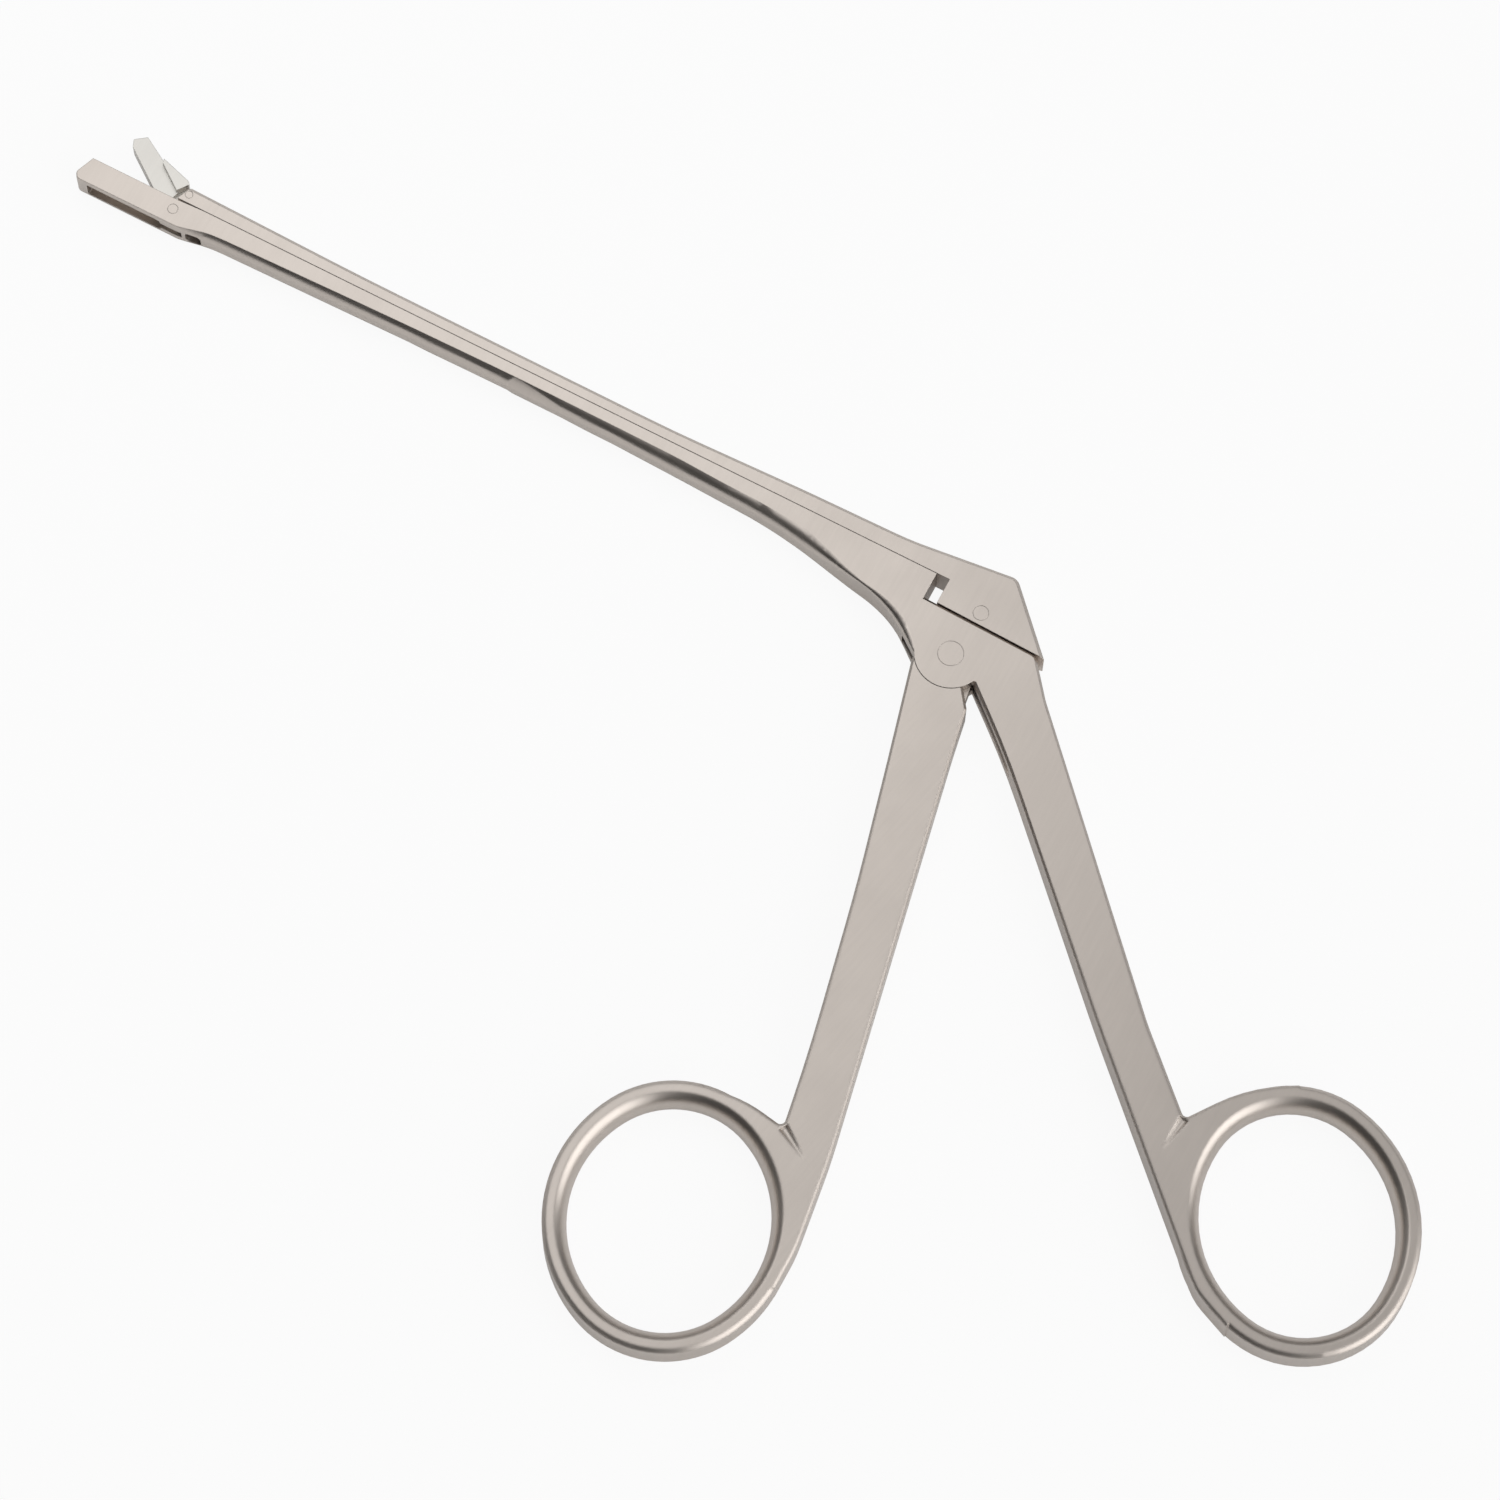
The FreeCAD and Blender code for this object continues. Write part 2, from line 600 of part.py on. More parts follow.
def make_lower_shaft():
    form = DOC.addObject("PartDesign::Body", "shaft_form")
    t = S.plate_thick
    flat_pad(form, "shaft_blank", 0, t, [
        (S.step_x, land_height(S.step_x)),
        (S.step_x, S.seam_y),
        (S.shaft_front_x + 2, S.seam_y),
        (S.jaw_pin_x, S.jaw_top_y),
        (S.nose_x, S.jaw_top_y),
        (S.nose_x - S.nose_lean, S.shaft_front_y + 0.8, 0.5),
        (S.nose_x - S.nose_lean * 0.4, S.shaft_front_y, 0.6),
        (S.shaft_front_x, S.shaft_front_y, 6),
        (S.shaft_nip_x, S.shaft_nip_y, 20),
        (S.shaft_arch_x, S.shaft_arch_y, S.shaft_arch_bow),
        (S.shaft_root_x, S.shaft_root_y, 60),
        (S.shaft_neck_x, S.shaft_neck_y, 16),
        (SHAFT_END_X, -2.1),
        (0, -3),
        (3.8, -1.8),
        (S.plate_rear_x - 2, S.land_y - 2),
        (S.plate_rear_x - 2, land_height(S.plate_rear_x - 2)),
    ])
    stations = [
        (S.nose_x - S.nose_lean, S.jaw_round),
        (S.shaft_front_x, S.jaw_round),
        (S.shaft_nip_x, S.shaft_round),
        (S.shaft_root_x, S.shaft_round),
        (as_size(SHAFT_END_X), S.shaft_round_end),
    ]
    body = DOC.addObject("PartDesign::Body", "lower_shaft")
    body.BaseFeature = round_long_edges(
        form, "shaft_rounding", stations,
        lambda spot: spot.y < S.shaft_arch_y.value and S.nose_x.value < spot.x < SHAFT_END_X)
    DOC.recompute()
    taper_sides(body, S.nose_x)
    disc_pad(body, "cheeks", 0, 0, S.cheek_radius, 0, t)
    x = S.rear_ring_x
    y = S.rear_ring_y
    wide = S.rear_ring_wide
    crotch = near_ring(x, y, wide, 164.6, 3.46)
    flat_pad(body, "rear_bar", 0, t, [
        (S.plate_rear_x - 3, land_height(S.plate_rear_x - 3)),
        (2, 1),
        (3.8, -1.8),
        (11, -7.85, 120),
        (24.5, -21.3, S.bar_bow),
        (*near_ring(x, y, wide, 162.2, 17.75), S.bar_bow),
        (*near_ring(x, y, wide, -116.9, 0.54), 8),
        near_ring(x, y, wide, -96, 1.1),
        near_ring(x, y, wide, -110, -4),
        near_ring(x, y, wide, 160, -4),
        near_ring(x, y, wide, 110, -1.5),
        near_ring(x, y, wide, 116, 2.0),
        (*near_ring(x, y, wide, 136, 2.6), 20),
        (*crotch, S.crotch_round),
        (39.9, -28.95, 30),
        (S.plate_rear_x + 3.45, S.land_y - 4.31, 12),
        (S.plate_rear_x, S.land_y, S.plate_corner),
    ])
    bevel_edges(body, "rear_bar_bevel", S.edge_break,
                lambda spot: beside_ring(spot, x, y, wide) > 0.7 and spot.y < -1 and spot.x > 5)
    crotch_notch(body, "rear_notch", *crotch, S.rear_notch_turn)
    add_ring(body, "rear_ring", x, y, wide, S.rear_ring_longer, S.rear_ring_turn)
    window_z = slot_z(S.window_wide)
    upright_pocket(body, "jaw_window", S.shaft_front_y - 1, S.seam_y + 1, [
        (S.window_front_x, window_z, S.window_corner),
        (S.window_rear_x, window_z, S.window_corner),
        (S.window_rear_x, window_z + S.window_wide, S.window_corner),
        (S.window_front_x, window_z + S.window_wide, S.window_corner),
    ])
    hub_z = slot_z(S.hub_slot_wide)
    flat_pocket(body, "hub_slot", hub_z, S.hub_slot_wide, [
        (S.window_rear_x - 0.5, S.shaft_front_y - 1),
        (S.hub_slot_x - 1.2, S.shaft_front_y - 1),
        (S.hub_slot_x, S.seam_y + 1),
        (S.window_rear_x - 0.5, S.seam_y + 1),
    ])
    bore(body, "jaw_pin_hole", S.jaw_pin_x, S.jaw_pin_y, S.jaw_pin_radius + S.rivet_fit, -1, t + 2)
    neck_wide = S.guide_neck_wide + S.side_gap * 2
    head_wide = S.guide_head_wide + S.side_gap * 2
    neck_y = S.seam_y - S.guide_neck_tall
    head_y = neck_y - S.guide_head_tall
    slot_end = S.guide_x + S.guide_long / 2 + S.side_gap * 3
    upright_pocket(body, "guide_neck_slot", neck_y, S.seam_y + 1, [
        (S.guide_door_x, slot_z(neck_wide)),
        (slot_end, slot_z(neck_wide)),
        (slot_end, slot_z(neck_wide) + neck_wide),
        (S.guide_door_x, slot_z(neck_wide) + neck_wide),
    ])
    upright_pocket(body, "guide_head_slot", head_y, neck_y, [
        (S.guide_door_x, slot_z(head_wide)),
        (slot_end, slot_z(head_wide)),
        (slot_end, slot_z(head_wide) + head_wide),
        (S.guide_door_x, slot_z(head_wide) + head_wide),
    ])
    door_half = S.guide_door_long / 2
    upright_pocket(body, "guide_door", S.shaft_front_y - 1, S.seam_y + 1, [
        (S.guide_door_x - door_half, slot_z(head_wide), 0.6),
        (S.guide_door_x + door_half, slot_z(head_wide), 0.6),
        (S.guide_door_x + door_half, slot_z(head_wide) + head_wide, 0.6),
        (S.guide_door_x - door_half, slot_z(head_wide) + head_wide, 0.6),
    ])
    fork_wide = S.tongue_thick + S.side_gap * 2
    flat_pocket(body, "fork_slot", slot_z(fork_wide), fork_wide, [
        (-4.6, S.land_y + 1),
        (-6.3, -0.9),
        (-7, -8),
        (11.8, -14),
        (13.2, -10.6),
        (4.5, 3),
        (4.5, S.land_y + 1),
    ])
    bore(body, "pivot_hole", 0, 0, S.pivot_radius + S.rivet_fit, -1, t + 2)
    return body


def make_upper_slide():
    body = DOC.addObject("PartDesign::Body", "upper_slide")
    t = S.plate_thick
    flat_pad(body, "slide_blank", 0, t, [
        (S.slide_front_x, S.slide_front_y),
        (S.slide_front_x - S.slide_lean, SLIDE_LOW_Y),
        (SLIDE_STEP_X, SLIDE_LOW_Y),
        (SLIDE_STEP_X, land_height(SLIDE_STEP_X) + S.land_gap),
        (S.slide_tail_x, land_height(S.slide_tail_x) + S.land_gap),
        (S.slide_peak_x, S.slide_peak_y, S.slide_peak_round),
        (S.slide_ramp_x, S.slide_ramp_y, 40),
        (S.slide_swell_x, S.slide_swell_y, 150),
        (S.slide_rise_x, S.slide_rise_y, S.slide_swell_bow),
        (S.slide_mid_x, S.slide_mid_y, S.slide_mid_bow),
    ])
    taper_sides(body, S.slide_front_x - S.slide_lean)
    bevel_edges(body, "slide_top_bevel", S.slide_bevel,
                lambda spot: spot.y > SLIDE_LOW_Y.value + 1 and spot.x > S.slide_front_x.value)
    slot_top = S.slide_front_y + 1
    flat_pocket(body, "front_slot", slot_z(S.hub_slot_wide), S.hub_slot_wide, [
        (S.slide_front_x - S.slide_lean - 1, SLIDE_LOW_Y - 1),
        (S.front_slot_x, SLIDE_LOW_Y - 1),
        (S.front_slot_x, slot_top),
        (S.slide_front_x - S.slide_lean - 1, slot_top),
    ])
    link_x = S.jaw_pin_x + HALF_TRAVEL
    link_y = S.jaw_pin_y + LINK_HEIGHT
    bore(body, "link_pin_hole", link_x, link_y, S.link_pin_radius + S.rivet_fit, -1, t + 2)
    fork_wide = S.tongue_thick + S.side_gap * 2
    flat_pocket(body, "lever_pocket", slot_z(fork_wide), fork_wide, [
        (S.pocket_front_x, S.land_y - 1),
        (S.pocket_rear_x, S.land_y - 1),
        (S.pocket_rear_x, S.pocket_top_y),
        (S.pocket_front_x, S.pocket_top_y),
    ])
    bore(body, "drive_pin_hole", HALF_TRAVEL, S.lever_pin_height,
         S.lever_pin_radius + S.rivet_fit, -1, t + 2)
    neck_y = S.seam_y - S.guide_neck_tall
    head_y = neck_y - S.guide_head_tall
    half = S.guide_long / 2
    flat_pad(body, "guide_neck", slot_z(S.guide_neck_wide), S.guide_neck_wide, [
        (S.guide_x - half, neck_y - S.side_gap * 2),
        (S.guide_x + half, neck_y - S.side_gap * 2),
        (S.guide_x + half, SLIDE_LOW_Y + 0.5),
        (S.guide_x - half, SLIDE_LOW_Y + 0.5),
    ])
    flat_pad(body, "guide_head", slot_z(S.guide_head_wide), S.guide_head_wide, [
        (S.guide_x - half, head_y + S.side_gap),
        (S.guide_x + half, head_y + S.side_gap),
        (S.guide_x + half, neck_y - S.side_gap),
        (S.guide_x - half, neck_y - S.side_gap),
    ])
    return body


def make_upper_jaw():
    """Drawn closed about the jaw pivot, then opened."""
    body = DOC.addObject("PartDesign::Body", "upper_jaw")
    px = S.jaw_pin_x
    py = S.jaw_pin_y
    blade_wide = S.window_wide - S.side_gap * 2
    edge = S.blade_edge_y - py
    nose = S.blade_nose_x - px
    tip = S.blade_tip_y - py
    rear = S.head_rear_x - px
    low = S.jaw_top_y + S.head_low_gap - py
    high = S.head_top_y - py
    front = S.head_front_x - px
    back_y = S.blade_back_y - py
    flat_pad(body, "blade", slot_z(blade_wide), blade_wide, [
        (nose, edge + 0.5, 0.2),
        (nose + 0.85, edge),
        (-1.6, edge),
        (-1.6, edge + 1.5),
        (rear, low + 0.3),
        (rear, high - 0.9),
        (S.blade_back_x - px, back_y, 4),
        (nose + 0.5, tip, 0.2),
    ])
    flat_pad(body, "head", slot_z(S.jaw_thick), S.jaw_thick, [
        (rear, low),
        (rear, high, 0.25),
        (rear - 0.5, high - 0.02, 0.5),
        (front - 0.35, back_y + 0.13),
        (front, low),
    ])
    tongue = S.hub_slot_wide - S.side_gap * 2
    link_turn = S.open_angle / 2
    reach = S.link_reach
    side = S.link_pin_radius + 0.55
    lean_x = -sine(link_turn)
    lean_y = cosine(link_turn)
    disc_pad(body, "hub", 0, 0, S.hub_radius, slot_z(tongue), tongue)
    flat_pad(body, "link_arm", slot_z(tongue), tongue, [
        (lean_y * side, -(lean_x * side)),
        (lean_x * reach + lean_y * side, lean_y * reach - lean_x * side, 0.3),
        (lean_x * reach - lean_y * side, lean_y * reach + lean_x * side, 0.3),
        (rear - 0.4, high - 0.8),
        (rear - 0.4, low - 0.2),
        (-1.4, edge + 0.1),
        (-0.2, -0.9),
    ])
    groove = S.link_pin_radius + S.running_fit
    flat_pocket(body, "link_slot", slot_z(tongue) - 0.5, tongue + 1, [
        (lean_x * 1.9 + lean_y * groove, lean_y * 1.9 - lean_x * groove, 0.2),
        (lean_x * 5 + lean_y * groove, lean_y * 5 - lean_x * groove),
        (lean_x * 5 - lean_y * groove, lean_y * 5 + lean_x * groove),
        (lean_x * 1.9 - lean_y * groove, lean_y * 1.9 + lean_x * groove, 0.2),
    ])
    bore(body, "jaw_pin_bore", 0, 0, S.jaw_pin_radius + S.running_fit, 0, S.plate_thick)
    body.Placement = FreeCAD.Placement(
        FreeCAD.Vector(px.value, py.value, 0),
        FreeCAD.Rotation(FreeCAD.Vector(0, 0, 1), -S.open_angle.value))
    bind(body, "Placement.Base.x", px)
    bind(body, "Placement.Base.y", py)
    bind(body, "Placement.Rotation.Angle", -S.open_angle)
    return body


def make_front_handle():
    body = DOC.addObject("PartDesign::Body", "front_handle")
    t = S.plate_thick
    x = S.front_ring_x
    y = S.front_ring_y
    wide = S.front_ring_wide
    crotch = near_ring(x, y, wide, 66.7, 2.19)
    flat_pad(body, "front_bar", 0, t, [
        (-3.72, -2.42),
        (-0.42, -15, S.bar_bow),
        (3.4, -30, S.bar_bow),
        (7.75, -50, S.bar_bow),
        (*crotch, S.crotch_round),
        (*near_ring(x, y, wide, 84, 1.7), S.web_round),
        near_ring(x, y, wide, 104, 1.5),
        near_ring(x, y, wide, 90, -2),
        near_ring(x, y, wide, 20, -5),
        near_ring(x, y, wide, -20, -2),
        near_ring(x, y, wide, -7, 0.23),
        (*near_ring(x, y, wide, 12.8, 0.54), 20),
        (*near_ring(x, y, wide, 49.25, 5.33), 80),
        (5.55, -10, 150),
        (4.68, -5.1, 0.5),
        (2.9, -2.7),
        (0, -1),
    ])
    bevel_edges(body, "front_bar_bevel", S.edge_break,
                lambda spot: beside_ring(spot, x, y, wide) > 0.4 and spot.y < -3)
    crotch_notch(body, "front_notch", *crotch, S.front_notch_turn)
    add_ring(body, "front_ring", x, y, wide, S.front_ring_longer, S.front_ring_turn)
    hollow = S.cheek_radius + S.shoulder_gap
    tongue_z = slot_z(S.tongue_thick)
    bore(body, "shoulder", 0, 0, hollow, -1, t + 2)
    flat_pad(body, "lever", tongue_z, S.tongue_thick, [
        (-2.9, -5),
        (4.2, -5.6),
        (3.6, -1.2, 1),
        (S.lever_half + 0.35, 3),
        (S.lever_half + 0.95, S.lever_reach, 0.5),
        (-S.lever_half + 0.95, S.lever_reach, 0.5),
        (-S.lever_half + 0.35, 3),
        (-3.4, -1.2, 1),
    ])
    turn = S.close_angle / 2
    lean_x = sine(turn)
    lean_y = cosine(turn)
    groove = S.lever_pin_radius + S.running_fit
    floor = S.lever_pin_height - S.lever_pin_radius - 0.4
    flat_pocket(body, "pin_slot", tongue_z - 0.5, S.tongue_thick + 1, [
        (lean_x * floor + lean_y * groove, lean_y * floor - lean_x * groove, 0.4),
        (lean_x * 10 + lean_y * groove, lean_y * 10 - lean_x * groove),
        (lean_x * 10 - lean_y * groove, lean_y * 10 + lean_x * groove),
        (lean_x * floor - lean_y * groove, lean_y * floor + lean_x * groove, 0.4),
    ])
    bore(body, "pivot_bore", 0, 0, S.pivot_radius + S.running_fit, -1, t + 2)
    return body


PIECES = [
    make_lower_shaft(),
    make_upper_slide(),
    make_upper_jaw(),
    make_front_handle(),
    make_pin("handle_pivot_pin", 0, 0, S.pivot_radius, 0, S.plate_thick),
    make_pin("slide_drive_pin", HALF_TRAVEL, S.lever_pin_height, S.lever_pin_radius,
             0, S.plate_thick),
    make_pin("jaw_pivot_pin", S.jaw_pin_x, S.jaw_pin_y, S.jaw_pin_radius,
             slot_z(S.jaw_thick), S.jaw_thick),
    make_pin("jaw_link_pin", S.jaw_pin_x + HALF_TRAVEL, S.jaw_pin_y + LINK_HEIGHT,
             S.link_pin_radius, slot_z(S.jaw_thick), S.jaw_thick),
]
DOC.recompute()

for item in DOC.Objects:
    if "Invalid" in item.State or "Error" in item.State:
        raise RuntimeError(item.Name + " failed: " + ", ".join(item.State))
for piece in PIECES:
    shape = piece.Shape
    if shape.isNull() or not shape.isValid() or len(shape.Solids) != 1:
        raise RuntimeError(piece.Label + " is not one valid solid")

os.makedirs("parts", exist_ok=True)
for piece in PIECES:
    piece.Shape.exportStep("parts/{}.step".format(piece.Label))
    print(piece.Label, round(piece.Shape.Volume, 2), piece.Shape.BoundBox)
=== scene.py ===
# Through-cut forceps of satin steel, lying on a white table.
import math

import bpy
from mathutils import Matrix, Vector

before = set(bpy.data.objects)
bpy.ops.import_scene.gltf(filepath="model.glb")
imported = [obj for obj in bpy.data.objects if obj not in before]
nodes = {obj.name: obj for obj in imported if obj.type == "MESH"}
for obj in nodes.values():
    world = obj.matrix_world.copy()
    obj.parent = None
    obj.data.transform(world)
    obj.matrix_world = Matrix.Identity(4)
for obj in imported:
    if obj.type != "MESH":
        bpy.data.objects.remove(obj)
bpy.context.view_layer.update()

# Steel: colours, and the look of brush lines, fine grain and soft clouds. Lengths in metres.
SATIN = (0.66, 0.60, 0.55)
BLADE = (0.72, 0.70, 0.66)
SATIN_ROUGHNESS = 0.34
BLADE_ROUGHNESS = 0.36
ROUGHNESS_SWING = 0.05
SATIN_DEPTH = 0.000012
BLADE_DEPTH = 0.000008
ACROSS_SHAFT = 0.0
ACROSS_HANDLE = 12.0
BRUSH_SCALE = (2600, 180, 180)
GRAIN_SCALE = (1900, 1900, 1900)
CLOUD_SCALE = (90, 90, 90)
DARK_TINT = 0.92
LIGHT_TINT = 1.08
BRUSH_IN_TINT = 0.6
CLOUD_IN_TINT = (-0.15, 0.55)
CLOUD_IN_ROUGHNESS = (0.3, 0.7)
GRAIN_IN_BUMP = 0.4
BUMP_STRENGTH = 0.3
# The edges are worn round on the rings and nearly sharp on the joint and the shaft.
PLATE_EDGE = 0.0001
RING_EDGE = 0.00045
PLATE_FOOT = -0.012
RING_TOP = -0.028
EDGE_SAMPLES = 4


def material(name):
    """A new material with its node tree and its shader."""
    made = bpy.data.materials.new(name)
    made.use_nodes = True
    tree = made.node_tree
    tree.nodes.clear()
    output = tree.nodes.new("ShaderNodeOutputMaterial")
    shader = tree.nodes.new("ShaderNodeBsdfPrincipled")
    tree.links.new(shader.outputs["BSDF"], output.inputs["Surface"])
    return made, tree, shader


def noise(tree, vector, scale, detail):
    """Noise whose scale may differ along each axis."""
    stretch = tree.nodes.new("ShaderNodeMapping")
    stretch.inputs["Scale"].default_value = scale
    tree.links.new(vector, stretch.inputs["Vector"])
    made = tree.nodes.new("ShaderNodeTexNoise")
    made.inputs["Scale"].default_value = 1.0
    made.inputs["Detail"].default_value = detail
    made.inputs["Roughness"].default_value = 0.6
    tree.links.new(stretch.outputs["Vector"], made.inputs["Vector"])
    return made.outputs["Fac"]


def remap(tree, value, low, high, start=0.0, stop=1.0):
    """Carries the span from start to stop over to the span from low to high."""
    made = tree.nodes.new("ShaderNodeMapRange")
    made.inputs["From Min"].default_value = start
    made.inputs["From Max"].default_value = stop
    made.inputs["To Min"].default_value = low
    made.inputs["To Max"].default_value = high
    tree.links.new(value, made.inputs["Value"])
    return made.outputs["Result"]


def weighted(tree, value, weight, rest=None):
    """A value times a weight, added to the rest."""
    made = tree.nodes.new("ShaderNodeMath")
    made.operation = "MULTIPLY_ADD"
    tree.links.new(value, made.inputs[0])
    made.inputs[1].default_value = weight
    if rest is None:
        made.inputs[2].default_value = 0.0
    else:
        tree.links.new(rest, made.inputs[2])
    return made.outputs["Value"]


def steel(name, colour, roughness, brush_turn, brush_depth):
    """Satin steel: brush lines across the piece, soft cloudiness and worn, rounded edges."""
    made, tree, shader = material(name)
    shader.inputs["Metallic"].default_value = 1.0
    place = tree.nodes.new("ShaderNodeTexCoord")
    turned = tree.nodes.new("ShaderNodeMapping")
    turned.inputs["Rotation"].default_value = (0.0, 0.0, math.radians(brush_turn))
    tree.links.new(place.outputs["Object"], turned.inputs["Vector"])
    brush = noise(tree, turned.outputs["Vector"], BRUSH_SCALE, 4.0)
    grain = noise(tree, place.outputs["Object"], GRAIN_SCALE, 3.0)
    cloud = noise(tree, place.outputs["Object"], CLOUD_SCALE, 3.0)

    tint = tree.nodes.new("ShaderNodeMix")
    tint.data_type = "RGBA"
    tint.inputs["A"].default_value = (*[part * DARK_TINT for part in colour], 1.0)
    tint.inputs["B"].default_value = (*[min(part * LIGHT_TINT, 1.0) for part in colour], 1.0)
    blend = weighted(tree, brush, BRUSH_IN_TINT, remap(tree, cloud, *CLOUD_IN_TINT))
    tree.links.new(blend, tint.inputs["Factor"])
    tree.links.new(tint.outputs["Result"], shader.inputs["Base Color"])

    smooth = roughness - ROUGHNESS_SWING
    dull = roughness + ROUGHNESS_SWING
    rough = remap(tree, cloud, smooth, dull, *CLOUD_IN_ROUGHNESS)
    tree.links.new(rough, shader.inputs["Roughness"])

    along = tree.nodes.new("ShaderNodeSeparateXYZ")
    tree.links.new(place.outputs["Object"], along.inputs["Vector"])
    rounding = remap(tree, along.outputs["Y"], RING_EDGE, PLATE_EDGE, RING_TOP, PLATE_FOOT)
    soft = tree.nodes.new("ShaderNodeBevel")
    soft.samples = EDGE_SAMPLES
    tree.links.new(rounding, soft.inputs["Radius"])
    bump = tree.nodes.new("ShaderNodeBump")
    bump.inputs["Strength"].default_value = BUMP_STRENGTH
    bump.inputs["Distance"].default_value = brush_depth
    tree.links.new(weighted(tree, grain, GRAIN_IN_BUMP, brush), bump.inputs["Height"])
    tree.links.new(soft.outputs["Normal"], bump.inputs["Normal"])
    tree.links.new(bump.outputs["Normal"], shader.inputs["Normal"])
    return made


shaft_steel = steel("shaft_steel", SATIN, SATIN_ROUGHNESS, ACROSS_SHAFT, SATIN_DEPTH)
handle_steel = steel("handle_steel", SATIN, SATIN_ROUGHNESS, ACROSS_HANDLE, SATIN_DEPTH)
blade_steel = steel("blade_steel", BLADE, BLADE_ROUGHNESS, ACROSS_SHAFT, BLADE_DEPTH)
finishes = {
    "lower_shaft": shaft_steel,
    "upper_slide": shaft_steel,
    "front_handle": handle_steel,
    "upper_jaw": blade_steel,
    "handle_pivot_pin": shaft_steel,
    "slide_drive_pin": shaft_steel,
    "jaw_pivot_pin": shaft_steel,
    "jaw_link_pin": shaft_steel,
}
for name, finish in finishes.items():
    nodes[name].data.materials.clear()
    nodes[name].data.materials.append(finish)

# Table: white to the camera, paler in the steel's reflections than it is lit, and with the
# forceps' faint shadow.
TABLE_SIZE = 30.0
TABLE_HEIGHT = -0.0001
TABLE_COLOUR = (0.97, 0.97, 0.97, 1.0)
TABLE_ROUGHNESS = 0.8
CAMERA_SHARE = 0.92
GLOSSY_SHARE = 0.2


def plane(name, size, at):
    """A square, level plane about its middle."""
    half = size / 2
    mesh = bpy.data.meshes.new(name)
    corners = [(-half, -half, 0), (half, -half, 0), (half, half, 0), (-half, half, 0)]
    mesh.from_pydata(corners, [], [(0, 1, 2, 3)])
    made = bpy.data.objects.new(name, mesh)
    made.location = at
    bpy.context.scene.collection.objects.link(made)
    return made


table = plane("table", TABLE_SIZE, (0, 0, TABLE_HEIGHT))
paper, tree, shader = material("white_table")
shader.inputs["Base Color"].default_value = TABLE_COLOUR
shader.inputs["Roughness"].default_value = TABLE_ROUGHNESS
white = tree.nodes.new("ShaderNodeEmission")
white.inputs["Strength"].default_value = 1.0
path = tree.nodes.new("ShaderNodeLightPath")
share = weighted(tree, path.outputs["Is Camera Ray"], CAMERA_SHARE)
share = weighted(tree, path.outputs["Is Glossy Ray"], GLOSSY_SHARE, share)
share = weighted(tree, path.outputs["Is Transmission Ray"], CAMERA_SHARE, share)
mix = tree.nodes.new("ShaderNodeMixShader")
tree.links.new(share, mix.inputs["Fac"])
tree.links.new(shader.outputs["BSDF"], mix.inputs[1])
tree.links.new(white.outputs["Emission"], mix.inputs[2])
tree.links.new(mix.outputs["Shader"], tree.nodes["Material Output"].inputs["Surface"])
table.data.materials.append(paper)

# World: a white ceiling, dim walls, a bright window at the lower right of the picture,
# and the dark shape of the photographer. Each has its direction, and the cosines of the
# angle from it at which it starts and is full.
CEILING = 0.5
WALLS = 0.12
WINDOW = 1.8
SHADE = 0.05
CEILING_SPAN = ((0, 0, 1), 0.15, 0.7)
SHADE_SPAN = ((-0.35, -0.90, 0.25), 0.45, 0.85)
WINDOW_SPAN = ((0.97, -0.05, 0.25), 0.68, 0.92)
world = bpy.data.worlds.new("room")
world.use_nodes = True
tree = world.node_tree
background = tree.nodes["Background"]
place = tree.nodes.new("ShaderNodeTexCoord")


def toward(direction, start, stop):
    """Rises smoothly from 0 to 1 as the view turns towards a direction."""
    facing = tree.nodes.new("ShaderNodeVectorMath")
    facing.operation = "DOT_PRODUCT"
    facing.inputs[1].default_value = Vector(direction).normalized()
    tree.links.new(place.outputs["Generated"], facing.inputs[0])
    rise = tree.nodes.new("ShaderNodeMapRange")
    rise.interpolation_type = "SMOOTHSTEP"
    rise.inputs["From Min"].default_value = start
    rise.inputs["From Max"].default_value = stop
    tree.links.new(facing.outputs["Value"], rise.inputs["Value"])
    return rise


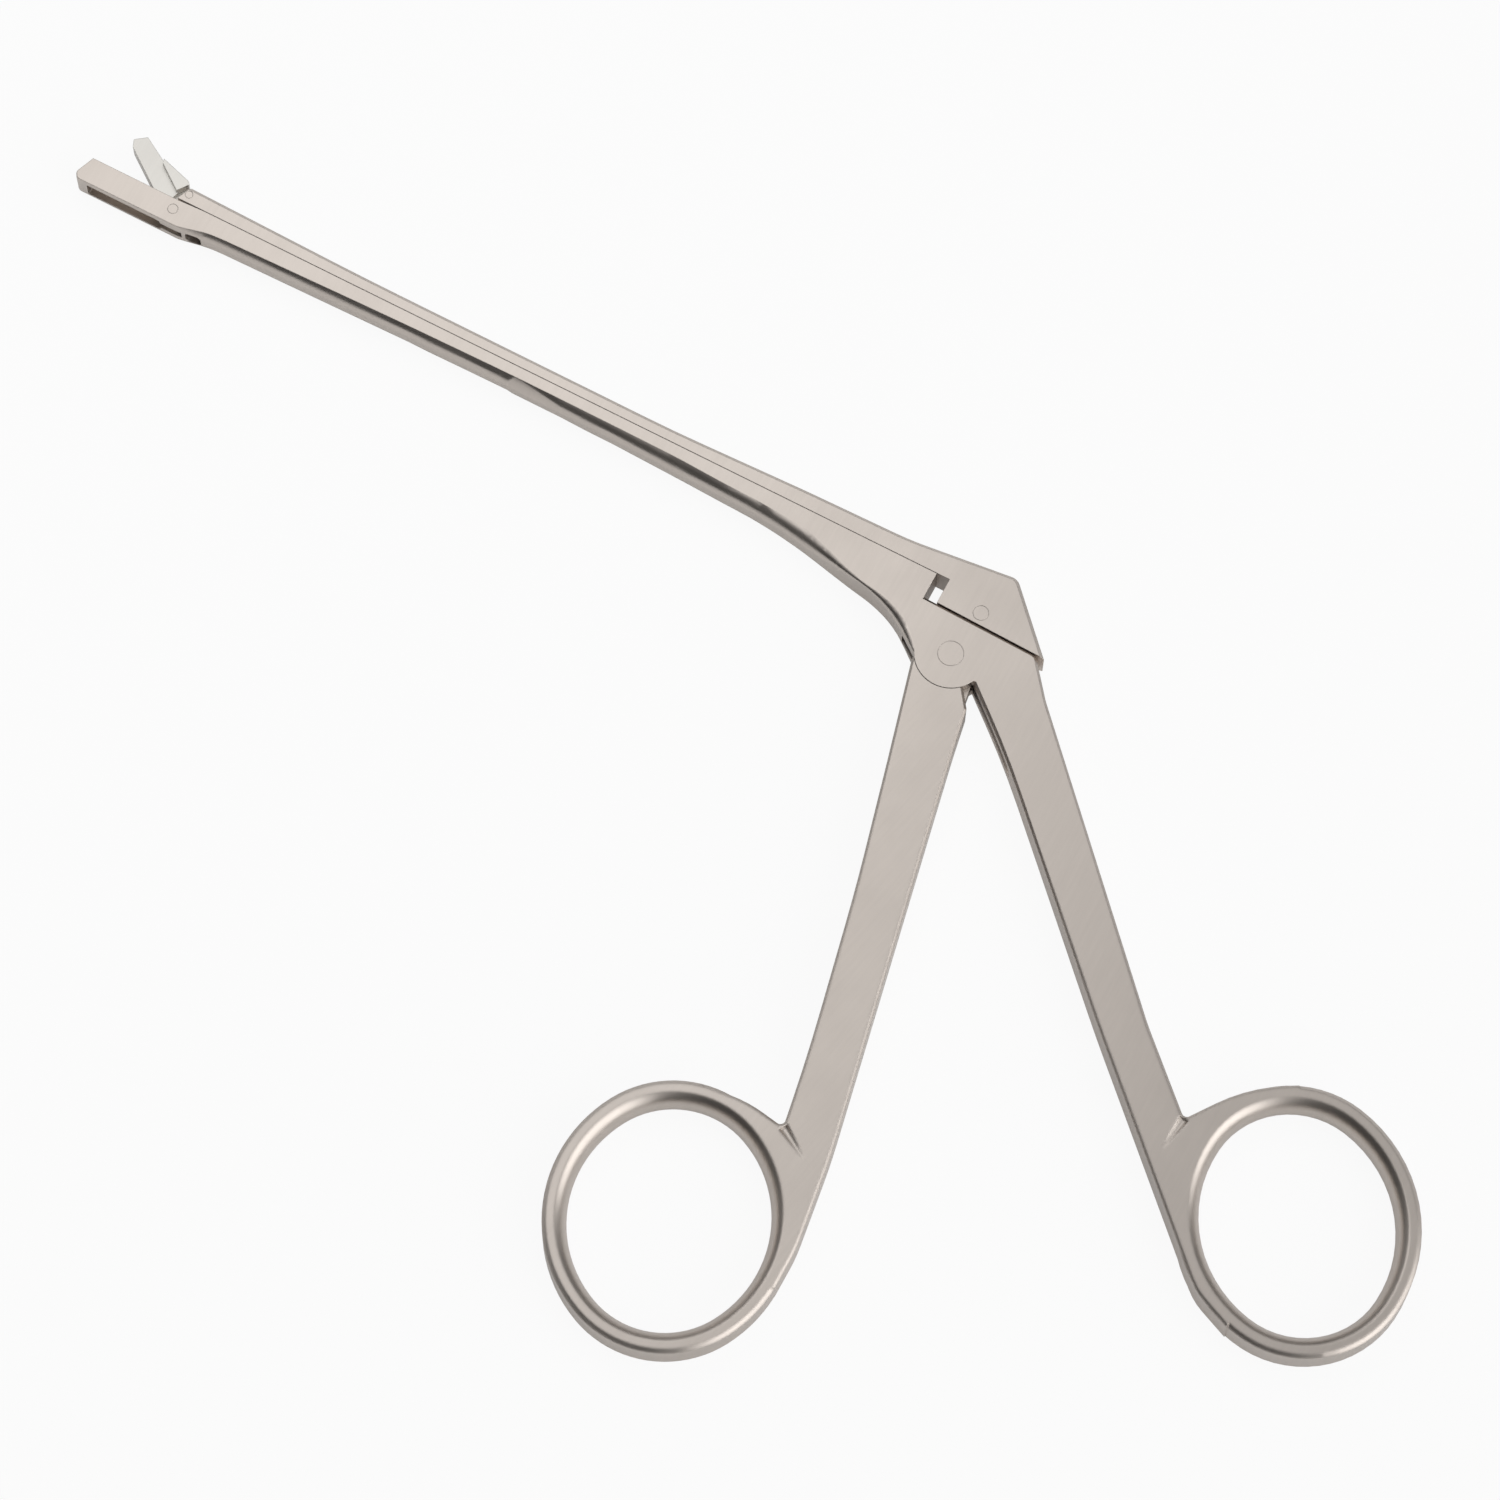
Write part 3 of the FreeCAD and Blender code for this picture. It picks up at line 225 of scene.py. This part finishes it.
def blended(below, share, strength):
    """Goes from what lies below to a strength by a share."""
    made = tree.nodes.new("ShaderNodeMix")
    made.data_type = "FLOAT"
    made.inputs["B"].default_value = strength
    tree.links.new(share.outputs["Result"], made.inputs["Factor"])
    tree.links.new(below.outputs["Result"], made.inputs["A"])
    return made


room = toward(*CEILING_SPAN)
room.inputs["To Min"].default_value = WALLS
room.inputs["To Max"].default_value = CEILING
room = blended(room, toward(*SHADE_SPAN), SHADE)
room = blended(room, toward(*WINDOW_SPAN), WINDOW)
background.inputs["Color"].default_value = (1, 1, 1, 1)
tree.links.new(room.outputs["Result"], background.inputs["Strength"])
bpy.context.scene.world = world

# Lamp: one large, soft lamp over the shaft, facing straight down.
LAMP_PLACE = (-0.20, 0.13, 0.36)
LAMP_SIZE = 0.36
LAMP_POWER = 0.27
lamp = bpy.data.lights.new("key", "AREA")
lamp.shape = "SQUARE"
lamp.size = LAMP_SIZE
lamp.energy = LAMP_POWER
key = bpy.data.objects.new("key", lamp)
key.location = LAMP_PLACE
below_lamp = Vector((LAMP_PLACE[0], LAMP_PLACE[1], 0.0))
key.rotation_euler = (below_lamp - Vector(LAMP_PLACE)).to_track_quat("-Z", "Y").to_euler()
bpy.context.scene.collection.objects.link(key)

# Camera: the place and lens found from the shaft, the rings and the pins.
SENSOR_WIDTH = 36.0
LENS = 160.715
CAMERA_PLACE = (0.095757, -0.243491, 0.725774)
CAMERA_FORWARD = (-0.14498, 0.29151, -0.94552)
CAMERA_UP = (-0.44420, 0.83472, 0.32546)
camera_data = bpy.data.cameras.new("camera")
camera_data.sensor_width = SENSOR_WIDTH
camera_data.lens = LENS
camera_data.clip_start = 0.01
camera = bpy.data.objects.new("camera", camera_data)
forward = Vector(CAMERA_FORWARD).normalized()
up = Vector(CAMERA_UP).normalized()
right = forward.cross(up).normalized()
up = right.cross(forward)
attitude = Matrix((right, up, -forward)).transposed().to_4x4()
camera.matrix_world = Matrix.Translation(CAMERA_PLACE) @ attitude
bpy.context.scene.collection.objects.link(camera)
bpy.context.scene.camera = camera
bpy.context.scene.view_settings.view_transform = "Standard"
